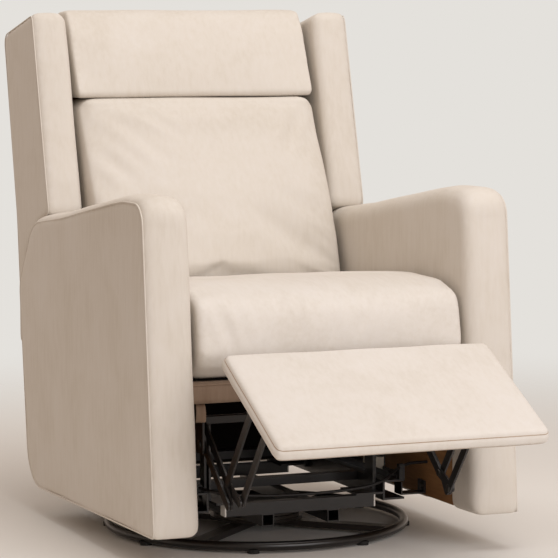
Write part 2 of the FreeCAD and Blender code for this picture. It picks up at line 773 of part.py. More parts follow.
def make_wings():
    outline = [wing_top_front + (wing_top_radius,), wing_nose + (wing_nose_radius,)] + wing_cut
    outline += [(wing_bottom_front, wing_bottom, wing_toe_radius), (rear_low[0], wing_bottom, wing_heel_radius),
                rear_low + (rear_low_radius,), rear_middle + (rear_middle_radius,), rear_top + (rear_top_radius,)]
    wing = slab(outline, wing_inner_x, wing_outer_x)
    wing = soften(wing, wing_inner_x, wing_fillet)
    wing = soften(wing, wing_outer_x, wing_fillet / 2)
    write("right_wing", [wing])
    write("left_wing", [mirrored(wing)])


def make_back_upholstery():
    half = wing_inner_x - back_cushion_gap
    seam = head_seam_z - seam_gap
    outline = back_front + [(back_seam_front, seam, seam_radius), (rear_y(seam, cushion_offset), seam),
                            (rear_y(rear_middle[1], cushion_offset), rear_middle[1]),
                            (frame_y(back_cushion_bottom, cushion_offset), back_cushion_bottom, seam_radius)]
    cushion = slab(outline, -half, half)
    for x in (-half, half):
        edges = [e for e in cushion.Edges
                 if abs(e.BoundBox.XMin - x) < 0.01 and abs(e.BoundBox.XMax - x) < 0.01
                 and e.BoundBox.YMax < back_seam_front + 1 and e.BoundBox.ZMax < seam - 0.01]
        cushion = cushion.makeFillet(back_fillet, edges)
    write("back_cushion", [cushion])

    base = post_top + fit_gap
    rear = rear_top[0] - head_rear_inset
    fit = head_fit_radius
    outline = [(back_seam_front, head_seam_z, seam_radius)] + head_front
    outline += [(rear, rear_top[1] + head_rear_rise, seam_radius), (rear, base, fit),
                (rear_y(base, cushion_offset), base, fit), (rear_y(head_seam_z, cushion_offset), head_seam_z, fit)]
    head = slab(outline, -half, half)
    head = soften(soften(head, -half, head_side_fillet), half, head_side_fillet)
    write("head_cushion", [head])

    top = base - fit_gap
    back = rear_low[0]
    front = back - rear_panel_thickness
    outline = [(rear_y(top), top), rear_middle + (rear_middle_radius,), rear_low + (rear_low_radius,),
               (back, rear_panel_bottom), (front, rear_panel_bottom), (front, rear_low[1], rear_low_radius),
               (rear_middle[0] - rear_panel_thickness, rear_middle[1], rear_middle_radius),
               (rear_y(top, rear_panel_thickness), top)]
    panel = slab(outline, -wing_inner_x + fit_gap, wing_inner_x - fit_gap)
    write("back_outer_panel", [panel])


def make_footrest():
    half = arm_inner_x - footrest_gap
    under = -footrest_thickness
    pad = slab([on_board(0, 0) + (footrest_rear_radius,), on_board(footrest_length, 0) + (footrest_front_radius,),
                on_board(footrest_length, under) + (footrest_under_radius,),
                on_board(0, under) + (footrest_under_radius,)], -half, half)
    pad = soften(soften(pad, -half, footrest_fillet), half, footrest_fillet)
    inset = footrest_board_inset
    top = under + footrest_board_thickness
    corners = [on_board(inset, top), on_board(footrest_length - inset, top),
               on_board(footrest_length - inset, under), on_board(inset, under)]
    board = slab(corners, -half + inset, half - inset)
    pocket = slab([on_board(inset - fit_gap, top), on_board(footrest_length - inset + fit_gap, top),
                   on_board(footrest_length - inset + fit_gap, under - fit_gap),
                   on_board(inset - fit_gap, under - fit_gap)],
                  -half + inset - fit_gap, half - inset + fit_gap)
    write("footrest_pad", [pad.cut(pocket)])
    write("footrest_board", [board])

    inner, outer = layer(3)
    plate = strip([lift_end, guide_end], link_radius, inner, outer)
    web = slab([on_board(foot_bracket_start, under), on_board(foot_bracket_end, under),
                guide_end, lift_end], inner, outer)
    flange = slab([on_board(foot_bracket_start, under), on_board(foot_bracket_end, under),
                   on_board(foot_bracket_end, under - link_thickness),
                   on_board(foot_bracket_start, under - link_thickness)], inner - foot_bracket_flange, outer)
    plate = plate.fuse([web, flange]).removeSplitter()
    plate = plate.cut(rod_x(lift_end, link_pin_radius + running_gap, inner, outer))
    deep = layer(4)[0] - fit_gap
    stud = rod_x(guide_end, link_pin_radius, deep, outer)
    head = rod_x(guide_end, rivet_head_radius, deep - rivet_head, deep)
    write("footrest_brackets", both_sides([plate.fuse([stud, head]).removeSplitter()]))


def make_linkage():
    control_in, control_out = layer(1)
    lift_in, lift_out = layer(2)
    drive_in, drive_out = layer(3)
    guide_in, guide_out = layer(4)

    control = strip([control_pivot, tail], link_radius, control_in, control_out)
    control = control.cut(rod_x(control_pivot, link_pin_radius + running_gap, control_in, control_out))
    control = control.cut(rod_x(tail, link_pin_radius + open_pivot_gap, control_in, control_out))
    write("footrest_control_links", both_sides([control]))

    lift = strip([tail, knee, lift_end], link_radius, lift_in, lift_out)
    lift = lift.cut(rod_x(knee, link_pin_radius + running_gap, lift_in, lift_out))
    for end in (tail, lift_end):
        lift = lift.cut(rod_x(end, link_pin_radius + weld_gap, lift_in, lift_out))
    write("footrest_lift_links", both_sides([lift]))
    tail_pin = rod_x(tail, link_pin_radius, lift_in, control_out)
    lift_pin = rod_x(lift_end, link_pin_radius, drive_in, lift_out)
    outer_head = rod_x(lift_end, rivet_head_radius, lift_out, lift_out + rivet_head)
    write("lift_link_rivets", both_sides([tail_pin, lift_pin.fuse(outer_head)]))

    drive = strip([drive_pivot, knee, nose], link_radius, drive_in, drive_out)
    boss = rod_x(drive_pivot, link_radius + link_thickness, drive_in, drive_out)
    drive = drive.fuse(boss).removeSplitter()
    drive = drive.cut(rod_x(drive_pivot, journal_radius + weld_gap, drive_in, drive_out))
    for end in (knee, nose):
        drive = drive.cut(rod_x(end, link_pin_radius + weld_gap, drive_in, drive_out))
    write("footrest_drive_links", both_sides([drive]))
    knee_pin = rod_x(knee, link_pin_radius, drive_in, lift_out)
    knee_head = rod_x(knee, rivet_head_radius, drive_in - rivet_head, drive_in)
    nose_pin = rod_x(nose, link_pin_radius, guide_in - fit_gap, drive_out)
    nose_head = rod_x(nose, rivet_head_radius, guide_in - rivet_head - fit_gap, guide_in - fit_gap)
    write("drive_link_rivets", both_sides([knee_pin.fuse(knee_head), nose_pin.fuse(nose_head)]))

    guide = strip([nose, guide_end], link_radius, guide_in, guide_out)
    guide = guide.cut(rod_x(nose, link_pin_radius + running_gap, guide_in, guide_out))
    guide = guide.cut(rod_x(guide_end, link_pin_radius + open_pivot_gap, guide_in, guide_out))
    write("footrest_guide_links", both_sides([guide]))

    half = torque_tube_size / 2
    y, z = drive_pivot
    bar = box(-drive_in, drive_in, y - half, y + half, z - half, z + half)
    bar = bar.makeFillet(tube_wall, [e for e in bar.Edges if e.Length > drive_in])
    journal = rod_x(drive_pivot, journal_radius, drive_in, plate_outer_x + rivet_head)
    write("torque_tube", [bar.fuse([journal, mirrored(journal)])])


os.makedirs("parts", exist_ok=True)
make_floor_base()
make_bearing()
make_swivel_frame()
make_glide_links()
make_carriage_frame()
make_side_plates()
make_arms()
make_release()
make_seat()
make_back_hinges()
make_back_frame()
make_wings()
make_back_upholstery()
make_footrest()
make_linkage()
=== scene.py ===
"""Dresses the swivel glider recliner: velvet covers, enamelled steelwork, bare wood and studio light.

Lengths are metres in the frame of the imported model: +Z is up and the chair faces -Y.
"""

from __future__ import annotations

import json
import logging
import math
from dataclasses import dataclass, field
from enum import Enum

import bmesh
import bpy
import numpy as np
from mathutils import Matrix, Vector, kdtree, noise
from mathutils.bvhtree import BVHTree

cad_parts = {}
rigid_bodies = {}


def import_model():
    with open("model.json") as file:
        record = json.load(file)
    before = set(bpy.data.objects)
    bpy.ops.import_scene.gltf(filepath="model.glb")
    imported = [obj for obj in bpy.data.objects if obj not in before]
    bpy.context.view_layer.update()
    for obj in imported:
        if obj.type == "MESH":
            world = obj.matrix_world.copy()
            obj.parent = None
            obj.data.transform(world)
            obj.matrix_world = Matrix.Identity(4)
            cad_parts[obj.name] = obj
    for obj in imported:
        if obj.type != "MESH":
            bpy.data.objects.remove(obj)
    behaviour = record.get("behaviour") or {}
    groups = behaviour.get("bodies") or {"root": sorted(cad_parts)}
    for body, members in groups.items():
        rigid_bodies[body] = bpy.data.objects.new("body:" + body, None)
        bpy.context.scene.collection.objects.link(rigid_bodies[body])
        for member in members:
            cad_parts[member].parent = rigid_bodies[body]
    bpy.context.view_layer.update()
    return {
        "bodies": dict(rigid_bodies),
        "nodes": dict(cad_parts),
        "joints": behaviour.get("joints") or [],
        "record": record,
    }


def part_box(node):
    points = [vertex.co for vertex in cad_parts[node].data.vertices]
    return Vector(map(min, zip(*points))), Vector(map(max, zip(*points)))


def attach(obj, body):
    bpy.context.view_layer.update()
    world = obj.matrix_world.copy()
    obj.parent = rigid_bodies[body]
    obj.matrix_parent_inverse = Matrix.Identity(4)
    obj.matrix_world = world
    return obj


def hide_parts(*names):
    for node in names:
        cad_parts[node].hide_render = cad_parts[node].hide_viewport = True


LOG = logging.getLogger("recliner")
MM = 0.001
STUFFING_FRAMES = 20
EDGE_STEP = 8 * MM
SEAM_STEP = 3 * MM
SEAM_SUNK = 0.35


# Shader helpers


def linear(hex_colour: str) -> tuple[float, float, float, float]:
    """Turns an sRGB hex colour into linear RGBA.

    Args:
        hex_colour: six hex digits with a leading hash.

    Returns:
        Linear red, green, blue and an alpha of 1.
    """
    parts = [int(hex_colour[i : i + 2], 16) / 255 for i in (1, 3, 5)]
    bent = [c / 12.92 if c <= 0.04045 else ((c + 0.055) / 1.055) ** 2.4 for c in parts]
    return (*bent, 1.0)


def add(
    tree: bpy.types.NodeTree,
    kind: str,
    inputs: dict | None = None,
    links: dict | None = None,
    stops: tuple = (),
    **settings: object,
) -> bpy.types.Node:
    """Adds one node with its settings, socket values and incoming links.

    Args:
        tree: the node tree that gets the node.
        kind: the node's type name.
        inputs: socket name or number to value.
        links: socket name or number to the output that feeds it.
        stops: for a colour ramp, pairs of position and colour.
        settings: attributes of the node itself.

    Returns:
        The new node.
    """
    node = tree.nodes.new(kind)
    for name, value in settings.items():
        setattr(node, name, value)
    for socket, value in (inputs or {}).items():
        node.inputs[socket].default_value = value
    for socket, source in (links or {}).items():
        tree.links.new(source, node.inputs[socket])
    if stops:
        ramp = node.color_ramp.elements
        while len(ramp) < len(stops):
            ramp.new(1.0)
        for element, (position, colour) in zip(ramp, stops):
            element.position = position
            element.color = colour
    return node


def per_mm(spacing: float) -> float:
    """Texture scale per metre for a feature of that many millimetres."""
    return 1000.0 / spacing


def new_material(name: str) -> tuple[bpy.types.Material, bpy.types.NodeTree, bpy.types.Node]:
    """Makes an empty node material.

    Args:
        name: the finish's name.

    Returns:
        The material, its tree and its output node.
    """
    material = bpy.data.materials.new(name)
    material.use_nodes = True
    tree = material.node_tree
    tree.nodes.clear()
    return material, tree, add(tree, "ShaderNodeOutputMaterial")


def placed(tree: bpy.types.NodeTree, scale: tuple[float, float, float] | None = None) -> bpy.types.NodeSocket:
    """Gives the object's own coordinates, stretched by a scale for each axis where one is given."""
    place = add(tree, "ShaderNodeTexCoord").outputs["Object"]
    if scale is None:
        return place
    return add(tree, "ShaderNodeMapping", {"Scale": scale}, {"Vector": place}).outputs[0]


def speckled(
    tree: bpy.types.NodeTree, place: bpy.types.NodeSocket, spacing: float, **more: float
) -> bpy.types.NodeSocket:
    """Adds a noise texture.

    Args:
        tree: the node tree.
        place: the coordinates that it follows.
        spacing: the width of its features in millimetres.
        more: its Detail, Roughness or Distortion.

    Returns:
        The texture's value.
    """
    inputs = {"Scale": per_mm(spacing), **more}
    return add(tree, "ShaderNodeTexNoise", inputs, {"Vector": place}).outputs["Fac"]


def raised(
    tree: bpy.types.NodeTree,
    height: bpy.types.NodeSocket,
    strength: float,
    distance: float,
    over: bpy.types.NodeSocket | None = None,
) -> bpy.types.NodeSocket:
    """Adds a bump.

    Args:
        tree: the node tree.
        height: the value that lifts the surface.
        strength: how much of it shows.
        distance: the lift in metres.
        over: a bump that this one lies on.

    Returns:
        The bumped normal.
    """
    links = {"Height": height}
    if over is not None:
        links["Normal"] = over
    return add(tree, "ShaderNodeBump", {"Strength": strength, "Distance": distance}, links).outputs[0]


def blended(
    tree: bpy.types.NodeTree, share: bpy.types.NodeSocket, one: str, two: str
) -> bpy.types.NodeSocket:
    """Mixes two hex colours by a share, and gives the colour."""
    colours = {"A": linear(one), "B": linear(two)}
    return add(tree, "ShaderNodeMix", colours, {"Factor": share}, data_type="RGBA").outputs["Result"]


# Finishes


Surface = tuple[dict, dict[str, bpy.types.NodeSocket]]


@dataclass(frozen=True)
class Finish:
    """A material with one surface shader, known by its name."""

    name: str

    def surface(self, tree: bpy.types.NodeTree) -> Surface:
        """The shader's own values, and the sockets that feed its other inputs."""
        raise NotImplementedError

    def build(self) -> bpy.types.Material:
        """Builds the material.

        Returns:
            The material.
        """
        material, tree, out = new_material(self.name)
        shader = add(tree, "ShaderNodeBsdfPrincipled", *self.surface(tree))
        tree.links.new(shader.outputs[0], out.inputs[0])
        return material


class Nap(Enum):
    """Which way the velvet's pile is brushed, as texture scales along X, Y and Z."""

    UPRIGHT = (1.0, 1.0, 0.12)
    FORWARD = (1.0, 0.12, 1.0)


@dataclass(frozen=True)
class Velvet(Finish):
    """Short-pile polyester velvet, woven and brushed: a soft sheen, faint streaks along the nap."""

    pile: str
    shaded: str
    lifted: str
    nap: Nap
    streak_mm: float = 9.0
    cloud_mm: float = 150.0
    grain_mm: float = 1.6
    streak_share: float = 0.45
    roughness: float = 0.92
    sheen: float = 0.22

    def surface(self, tree: bpy.types.NodeTree) -> Surface:
        """The velvet's values and sockets."""
        place = placed(tree)
        streaks = speckled(tree, placed(tree, self.nap.value), self.streak_mm, Detail=4.0, Roughness=0.6)
        clouds = speckled(tree, place, self.cloud_mm, Detail=3.0, Roughness=0.55, Distortion=0.6)
        # the pile lies over where it was stroked, so patches of it turn lighter or darker
        part = add(tree, "ShaderNodeMath", {1: self.streak_share}, {0: streaks}, operation="MULTIPLY")
        both = add(
            tree,
            "ShaderNodeMath",
            {1: 1 - self.streak_share},
            {0: clouds, 2: part.outputs[0]},
            operation="MULTIPLY_ADD",
        )
        stops = ((0.30, linear(self.shaded)), (0.5, linear(self.pile)), (0.72, linear(self.lifted)))
        colour = add(tree, "ShaderNodeValToRGB", {}, {0: both.outputs[0]}, stops)
        brushed = raised(tree, streaks, 0.07, 1.5 * MM)
        grain = speckled(tree, place, self.grain_mm, Detail=2.0, Roughness=0.7)
        fuzz = raised(tree, grain, 0.16, 0.5 * MM, brushed)
        return (
            {
                "Roughness": self.roughness,
                "Specular IOR Level": 0.18,
                "Sheen Weight": self.sheen,
                "Sheen Roughness": 0.38,
                "Sheen Tint": linear("#FFF3E6"),
            },
            {"Base Color": colour.outputs[0], "Normal": fuzz},
        )


@dataclass(frozen=True)
class Enamel(Finish):
    """Stoved satin enamel on pressed steel: a thin flowed coat with faint orange peel and rubbed edges."""

    coat: str
    rubbed: str
    roughness: float = 0.36
    peel_mm: float = 2.2
    dust_mm: float = 38.0

    def surface(self, tree: bpy.types.NodeTree) -> Surface:
        """The enamel's values and sockets."""
        place = placed(tree)
        dust = speckled(tree, place, self.dust_mm, Detail=5.0, Roughness=0.62)
        edges = add(tree, "ShaderNodeNewGeometry").outputs["Pointiness"]
        worn = add(tree, "ShaderNodeMapRange", {"From Min": 0.51, "From Max": 0.60}, {"Value": edges})
        patchy = add(tree, "ShaderNodeMath", {}, {0: worn.outputs[0], 1: dust}, operation="MULTIPLY")
        gloss = add(
            tree,
            "ShaderNodeMapRange",
            {"To Min": self.roughness - 0.07, "To Max": self.roughness + 0.10},
            {"Value": dust},
        )
        return (
            {"Coat Weight": 0.25, "Coat Roughness": 0.22},
            {
                "Base Color": blended(tree, patchy.outputs[0], self.coat, self.rubbed),
                "Roughness": gloss.outputs[0],
                "Normal": raised(tree, speckled(tree, place, self.peel_mm, Detail=1.0), 0.10, 0.2 * MM),
            },
        )


@dataclass(frozen=True)
class PlatedSteel(Finish):
    """Zinc-plated, polished or oil-tempered steel: a metal whose fine marks run one way."""

    metal: str
    dull: str
    roughness: float
    brush: tuple[float, float, float] = (0.08, 1.0, 1.0)
    mark_mm: float = 0.9
    bloom_mm: float = 14.0

    def surface(self, tree: bpy.types.NodeTree) -> Surface:
        """The plated steel's values and sockets."""
        marks = speckled(tree, placed(tree, self.brush), self.mark_mm, Detail=3.0)
        bloom = speckled(tree, placed(tree), self.bloom_mm, Detail=4.0)
        gloss = add(
            tree,
            "ShaderNodeMapRange",
            {"To Min": self.roughness - 0.06, "To Max": self.roughness + 0.12},
            {"Value": bloom},
        )
        return (
            {"Metallic": 1.0},
            {
                "Base Color": blended(tree, bloom, self.metal, self.dull),
                "Roughness": gloss.outputs[0],
                "Normal": raised(tree, marks, 0.15, 0.1 * MM),
            },
        )


@dataclass(frozen=True)
class Plywood(Finish):
    """Unfinished hardwood plywood: sawn grain along the chair, veneer bands and a dry face."""

    early: str
    late: str
    grain_mm: float = 3.5
    figure_mm: float = 45.0
    along: tuple[float, float, float] = (1.0, 0.06, 1.0)
    roughness: float = 0.74

    def surface(self, tree: bpy.types.NodeTree) -> Surface:
        """The bare plywood's values and sockets."""
        place = placed(tree, self.along)
        grain = speckled(tree, place, self.grain_mm, Detail=6.0, Roughness=0.65, Distortion=0.4)
        figure = speckled(tree, place, self.figure_mm, Detail=2.0, Distortion=1.4)
        both = add(tree, "ShaderNodeMath", {1: 0.5}, {0: grain, 2: figure}, operation="MULTIPLY_ADD")
        stops = ((0.55, linear(self.late)), (0.9, linear(self.early)))
        colour = add(tree, "ShaderNodeValToRGB", {}, {0: both.outputs[0]}, stops)
        return (
            {"Roughness": self.roughness},
            {"Base Color": colour.outputs[0], "Normal": raised(tree, grain, 0.25, 0.3 * MM)},
        )


@dataclass(frozen=True)
class Moulded(Finish):
    """Injection-moulded plastic or rubber: one colour through, a fine spark-eroded skin."""

    body: str
    scuffed: str
    roughness: float
    skin_mm: float = 0.8
    scuff_mm: float = 22.0

    def surface(self, tree: bpy.types.NodeTree) -> Surface:
        """The moulded finish's values and sockets."""
        place = placed(tree)
        scuffs = speckled(tree, place, self.scuff_mm, Detail=5.0, Roughness=0.7)
        stops = ((0.45, linear(self.body)), (0.75, linear(self.scuffed)))
        colour = add(tree, "ShaderNodeValToRGB", {}, {0: scuffs}, stops)
        skin = add(tree, "ShaderNodeTexVoronoi", {"Scale": per_mm(self.skin_mm)}, {"Vector": place})
        return (
            {"Roughness": self.roughness},
            {
                "Base Color": colour.outputs[0],
                "Normal": raised(tree, skin.outputs["Distance"], 0.12, 0.1 * MM),
            },
        )


@dataclass(frozen=True)
class Cambric(Finish):
    """Black spun-bonded dust cloth, with the small dimples of its bonding roll."""

    fibre: str
    bonded: str
    dimple_mm: float = 2.4
    fluff_mm: float = 26.0
    roughness: float = 0.95

    def surface(self, tree: bpy.types.NodeTree) -> Surface:
        """The dust cloth's values and sockets."""
        place = placed(tree)
        dimples = add(
            tree,
            "ShaderNodeTexVoronoi",
            {"Scale": per_mm(self.dimple_mm), "Randomness": 0.15},
            {"Vector": place},
        )
        fluff = speckled(tree, place, self.fluff_mm, Detail=4.0, Roughness=0.7)
        return (
            {"Roughness": self.roughness, "Specular IOR Level": 0.1},
            {
                "Base Color": blended(tree, fluff, self.fibre, self.bonded),
                "Normal": raised(tree, dimples.outputs["Distance"], 0.3, 0.2 * MM),
            },
        )


@dataclass
class FinishRack:
    """Every finish on the chair, built once and handed out by name."""

    velvet: Velvet = Velvet("velvet_upright", "#D6CFC5", "#CFC7BB", "#DAD4CC", Nap.UPRIGHT)
    velvet_flat: Velvet = Velvet("velvet_forward", "#D9D3CB", "#D2CBC1", "#DDD8D2", Nap.FORWARD)
    # darker partly because the nap lies the other way and partly as painted shade under the seat cushion's
    # overhang
    against_nap_and_shade: Velvet = Velvet("velvet_against_nap_painted_shade", "#94806F", "#8A7563", "#9E8B7B", Nap.UPRIGHT)
    # darker than the cover as painted shade of the seam's groove
    seam: Velvet = Velvet("velvet_seam_painted_shade", "#A8937F", "#9B8570", "#B5A18E", Nap.UPRIGHT, streak_mm=3.0)
    # a black dust cloth whose black also paints the shade inside the chair
    cambric_and_shade: Cambric = Cambric("black_cambric_painted_shade", "#171413", "#211D1B")
    built: dict[str, bpy.types.Material] = field(default_factory=dict)
    slots: dict[str, Finish] = field(
        default_factory=lambda: {
            "ring_enamel": Enamel("bronze_black_enamel", "#120E0C", "#261F1A", 0.30),
            "black_steel": Enamel("black_enamel", "#0F0D0D", "#221F1F", 0.36),
            "zinc_steel": PlatedSteel("zinc_plate", "#6E6A66", "#4B4845", 0.38),
            "bright_steel": PlatedSteel("polished_steel", "#B9B9B9", "#9C9C9C", 0.16),
            "spring_steel": PlatedSteel("oil_tempered_wire", "#3B3836", "#2A2725", 0.34),
            "black_rubber": Moulded("black_rubber", "#151414", "#1F1E1D", 0.82),
            "white_plastic": Moulded("white_polythene", "#E9E6E0", "#DAD6CE", 0.42),
            "black_plastic": Moulded("black_nylon", "#151414", "#211F1F", 0.48),
            "nylon": Moulded("natural_nylon", "#CFC8B8", "#BDB5A4", 0.5),
            "plywood": Plywood("bare_plywood", "#A67B4F", "#875E38"),
        }
    )

    def of(self, finish: Finish) -> bpy.types.Material:
        """Gives the material of a finish, and builds it on first use.

        Args:
            finish: one of the rack's finishes.

        Returns:
            Its material.
        """
        if finish.name not in self.built:
            self.built[finish.name] = finish.build()
        return self.built[finish.name]

    def dress_steelwork(self, frame: dict) -> None:
        """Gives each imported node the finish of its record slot.
        """
        for part in frame["record"]["subparts"]:
            node = frame["nodes"][part["node"]]
            finish = self.slots.get(part["material_slot"], self.velvet)
            if not node.material_slots:
                node.data.materials.append(None)
            for place in node.material_slots:
                place.material = self.of(finish)


# Mesh helpers


def points_of(mesh: bpy.types.Mesh, what: str = "co") -> np.ndarray:
    """The mesh's points, or their normals, as rows of x, y, z."""
    flat = np.empty(len(mesh.vertices) * 3, np.float32)
    mesh.vertices.foreach_get(what, flat)
    return flat.reshape(-1, 3).astype(float)


def normals_of(mesh: bpy.types.Mesh) -> np.ndarray:
    """The mesh's point normals as rows of x, y, z."""
    return points_of(mesh, "normal")


def set_points(mesh: bpy.types.Mesh, points: np.ndarray) -> None:
    """Writes the points back to the mesh."""
    mesh.vertices.foreach_set("co", points.astype(np.float32).ravel())
    mesh.update()


def link(name: str, mesh: bpy.types.Mesh, finish: bpy.types.Material) -> bpy.types.Object:
    """Makes a smooth-shaded object of a mesh.

    Args:
        name: the piece's name.
        mesh: its mesh.
        finish: its material.

    Returns:
        The linked object.
    """
    piece = bpy.data.objects.new(name, mesh)
    bpy.context.scene.collection.objects.link(piece)
    mesh.materials.clear()
    mesh.materials.append(finish)
    mesh.polygons.foreach_set("use_smooth", [True] * len(mesh.polygons))
    return piece


def baked(piece: bpy.types.Object) -> None:
    """Applies every modifier of the piece to its mesh."""
    graph = bpy.context.evaluated_depsgraph_get()
    mesh = bpy.data.meshes.new_from_object(piece.evaluated_get(graph))
    piece.modifiers.clear()
    piece.data = mesh


def cover_of(
    name: str, node: bpy.types.Object, voxel: float, finish: bpy.types.Material, rounds: int = 2
) -> tuple[bpy.types.Object, np.ndarray]:
    """Copies a node's solid as an even mesh that cloth work can start from.

    Args:
        name: the new piece's name.
        node: the CAD node whose shape is taken.
        voxel: the mesh spacing in metres.
        finish: the piece's material.
        rounds: how many times the mesh is smoothed.

    Returns:
        The new piece and its points.
    """
    piece = link(name, node.data.copy(), finish)
    weld = piece.modifiers.new("weld", "WELD")
    weld.merge_threshold = 0.02 * MM
    even = piece.modifiers.new("even", "REMESH")
    even.mode = "VOXEL"
    even.voxel_size = voxel
    even.use_smooth_shade = True
    baked(piece)
    points = relaxed(piece.data, points_of(piece.data), rounds)
    set_points(piece.data, points)
    return piece, points


def relaxed(mesh: bpy.types.Mesh, points: np.ndarray, rounds: int, share: float = 0.5) -> np.ndarray:
    """Smooths points towards the middle of their neighbours.

    Args:
        mesh: the mesh whose edges join the points.
        points: where the points are now.
        rounds: how many times to smooth.
        share: how far each point goes in one round.

    Returns:
        The smoothed points.
    """
    pairs = np.empty(len(mesh.edges) * 2, np.int32)
    mesh.edges.foreach_get("vertices", pairs)
    one, two = pairs.reshape(-1, 2).T
    count = np.bincount(pairs, minlength=len(points)).clip(1)
    for _ in range(rounds):
        middle = np.empty_like(points)
        for axis in range(3):
            total = np.bincount(one, points[two, axis], len(points))
            total += np.bincount(two, points[one, axis], len(points))
            middle[:, axis] = total / count
        points = points + (middle - points) * share
    return points


def subdivided(piece: bpy.types.Object, levels: int = 1) -> None:
    """Adds Catmull-Clark levels to the piece for good."""
    finer = piece.modifiers.new("finer", "SUBSURF")
    finer.levels = levels
    finer.render_levels = levels
    baked(piece)


def stuffed(piece: bpy.types.Object, held: np.ndarray, pressure: float, cap: float) -> None:
    """Inflates a cover as cloth, with some of it held still.

    Args:
        piece: the cover.
        held: for each point, 1 where it can't move and 0 where it is free.
        pressure: the filling's push.
        cap: how far any point may go, in metres.
    """
    start = points_of(piece.data)
    group = piece.vertex_groups.new(name="held")
    for weight in np.unique(np.round(held, 1)):
        if weight > 0:
            chosen = np.nonzero(np.round(held, 1) == weight)[0].tolist()
            group.add(chosen, float(weight), "REPLACE")
    cloth = piece.modifiers.new("stuffing", "CLOTH")
    settings = cloth.settings
    settings.quality = 5
    settings.mass = 0.3
    settings.tension_stiffness = 12.0
    settings.compression_stiffness = 12.0
    settings.shear_stiffness = 6.0
    settings.bending_stiffness = 0.6
    settings.use_pressure = True
    settings.uniform_pressure_force = pressure
    settings.effector_weights.gravity = 0.0
    settings.vertex_group_mass = "held"
    cloth.collision_settings.use_collision = False
    cloth.point_cache.frame_start = 1
    cloth.point_cache.frame_end = STUFFING_FRAMES
    scene = bpy.context.scene
    for number in range(1, STUFFING_FRAMES + 1):
        scene.frame_set(number)
    graph = bpy.context.evaluated_depsgraph_get()
    after = points_of(piece.evaluated_get(graph).data)
    piece.modifiers.clear()
    scene.frame_set(1)
    move = after - start
    far = np.linalg.norm(move, axis=1, keepdims=True).clip(1e-9)
    set_points(piece.data, start + move * np.minimum(1.0, cap / far))


def filled(piece: bpy.types.Object, held: np.ndarray, pressure: float, cap: float) -> np.ndarray:
    """Args:
        piece: the cover.
        held: for each point, whether it can't move.
        pressure: the filling's push.
        cap: how far any point may go, in metres.

    Returns:
        The smoothed points, which the mesh hasn't got yet.
    """
    stuffed(piece, held.astype(float), pressure, cap)
    return relaxed(piece.data, points_of(piece.data), 1)


def tube(
    name: str,
    path: np.ndarray,
    radius: float,
    finish: bpy.types.Material,
    closed: bool = False,
    sides: int = 10,
) -> bpy.types.Object:
    """Sweeps a round section along a path.

    Args:
        name: the piece's name.
        path: the points of the line, in metres.
        radius: the section's radius.
        finish: the material.
        closed: whether the line meets its start again.
        sides: corners of the section.

    Returns:
        The tube as a piece.
    """
    path = np.asarray(path, float)
    ahead = np.roll(path, -1, 0) - path
    behind = path - np.roll(path, 1, 0)
    if not closed:
        ahead[-1] = behind[-1]
        behind[0] = ahead[0]
    run = ahead / np.linalg.norm(ahead, axis=1, keepdims=True)
    run += behind / np.linalg.norm(behind, axis=1, keepdims=True)
    run /= np.linalg.norm(run, axis=1, keepdims=True)
    # the section's first side is square to the line and to a way that no line here runs in
    side = np.cross(run[0], (0.3, 0.5, 0.81))
    rings = []
    for here, way in zip(path, run):
        side = side - way * (side @ way)
        side /= np.linalg.norm(side)
        other = np.cross(way, side)
        turn = np.linspace(0, 2 * math.pi, sides, endpoint=False)[:, None]
        rings.append(here + radius * (np.cos(turn) * side + np.sin(turn) * other))
    points = np.concatenate(rings)
    count = len(path)
    faces = []
    for i in range(count if closed else count - 1):
        j = (i + 1) % count
        for k in range(sides):
            m = (k + 1) % sides
            faces.append((i * sides + k, i * sides + m, j * sides + m, j * sides + k))
    if not closed:
        faces.append(tuple(range(sides))[::-1])
        faces.append(tuple((count - 1) * sides + k for k in range(sides)))
    mesh = bpy.data.meshes.new(name)
    mesh.from_pydata(points.tolist(), [], faces)
    return link(name, mesh, finish)


def rim_of(node: bpy.types.Object, axis: int, value: float) -> list[np.ndarray]:
    """Finds the outlines of a node's flat face.

    Args:
        node: the CAD node.
        axis: 0, 1 or 2, the axis that the face is square to.
        value: where along the axis the face lies, in metres.

    Returns:
        Each closed outline, longest first, as rows of points.
    """
    work = bmesh.new()
    work.from_mesh(node.data)
    bmesh.ops.remove_doubles(work, verts=work.verts, dist=0.02 * MM)
    flat = {f for f in work.faces if all(abs(v.co[axis] - value) < 0.05 * MM for v in f.verts)}
    border: dict[int, list] = {}
    for edge in work.edges:
        if sum(f in flat for f in edge.link_faces) == 1:
            for a, b in (edge.verts, reversed(list(edge.verts))):
                border.setdefault(a.index, []).append(b.index)
    work.verts.ensure_lookup_table()
    loops = []
    left = set(border)
    while left:
        start = left.pop()
        loop = [start]
        while True:
            onward = [n for n in border[loop[-1]] if n in left]
            if not onward:
                break
            loop.append(onward[0])
            left.discard(onward[0])
        loops.append(np.array([work.verts[i].co[:] for i in loop]))
    work.free()
    return sorted(loops, key=lambda p: -np.linalg.norm(np.diff(p, axis=0), axis=1).sum())


def evened(path: np.ndarray, spacing: float, closed: bool) -> np.ndarray:
    """Sets points at an even spacing along a line.

    Args:
        path: the line's points.
        spacing: the wanted distance between points.
        closed: whether the line is a ring.

    Returns:
        The new points.
    """
    if closed:
        path = np.vstack([path, path[:1]])
    reach = np.concatenate([[0], np.cumsum(np.linalg.norm(np.diff(path, axis=0), axis=1))])
    count = max(4, int(reach[-1] / spacing))
    places = np.linspace(0, reach[-1], count, endpoint=not closed)
    return np.stack([np.interp(places, reach, path[:, k]) for k in range(3)], 1)


